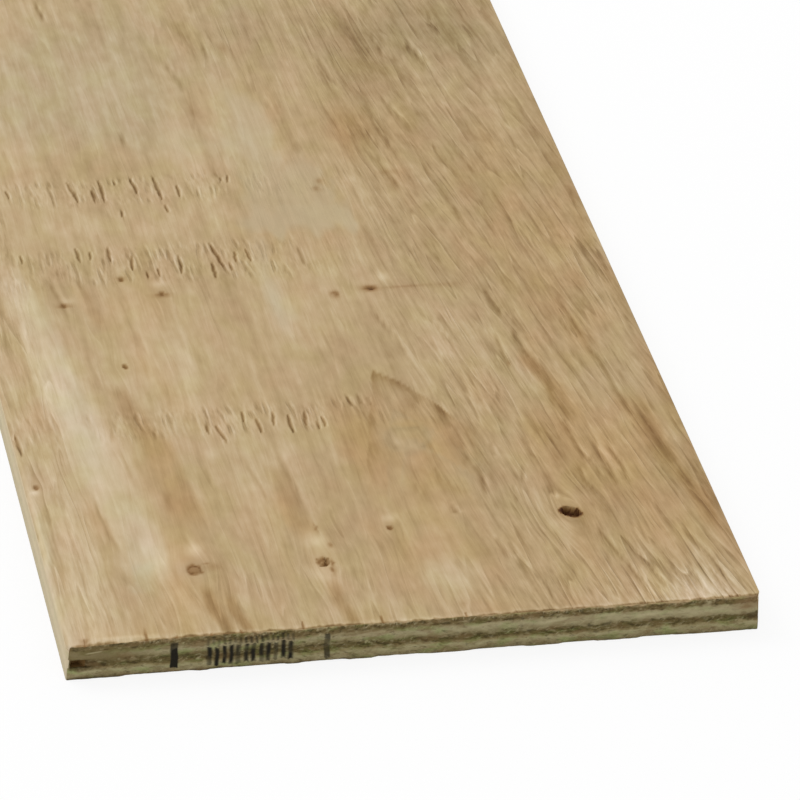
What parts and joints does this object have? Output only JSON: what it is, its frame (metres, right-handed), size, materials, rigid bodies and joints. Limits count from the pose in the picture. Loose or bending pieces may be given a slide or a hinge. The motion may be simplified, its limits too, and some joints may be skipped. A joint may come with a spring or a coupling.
{
  "type": "plywood sheet",
  "caption": "Flat rectangular panel of cross-laminated veneers with a knotty sheathing-grade face and sawn edges.",
  "frame": {"origin": "middle of the underside", "axes": "+Z out of the face, +Y along the grain of the face, +X across it; the nicked end with the core gap at its left corner is the front, at lowest Y"},
  "size_m": [0.3048, 0.6096, 0.0183],
  "materials": {
    "face_wood": "raw rotary-peeled pine veneer with a slight green cast, lightly sanded",
    "crossband_wood": "sawn veneer, long grain on the ends and end grain on the sides",
    "core_wood": "sawn veneer, dark end grain on the ends",
    "back_wood": "raw rotary-peeled veneer, unsanded"
  },
  "bodies": {
    "root": {"face_veneer": "face_wood", "upper_crossband": "crossband_wood", "core_ply": "core_wood", "lower_crossband": "crossband_wood", "back_veneer": "back_wood"}
  },
  "joints": []
}
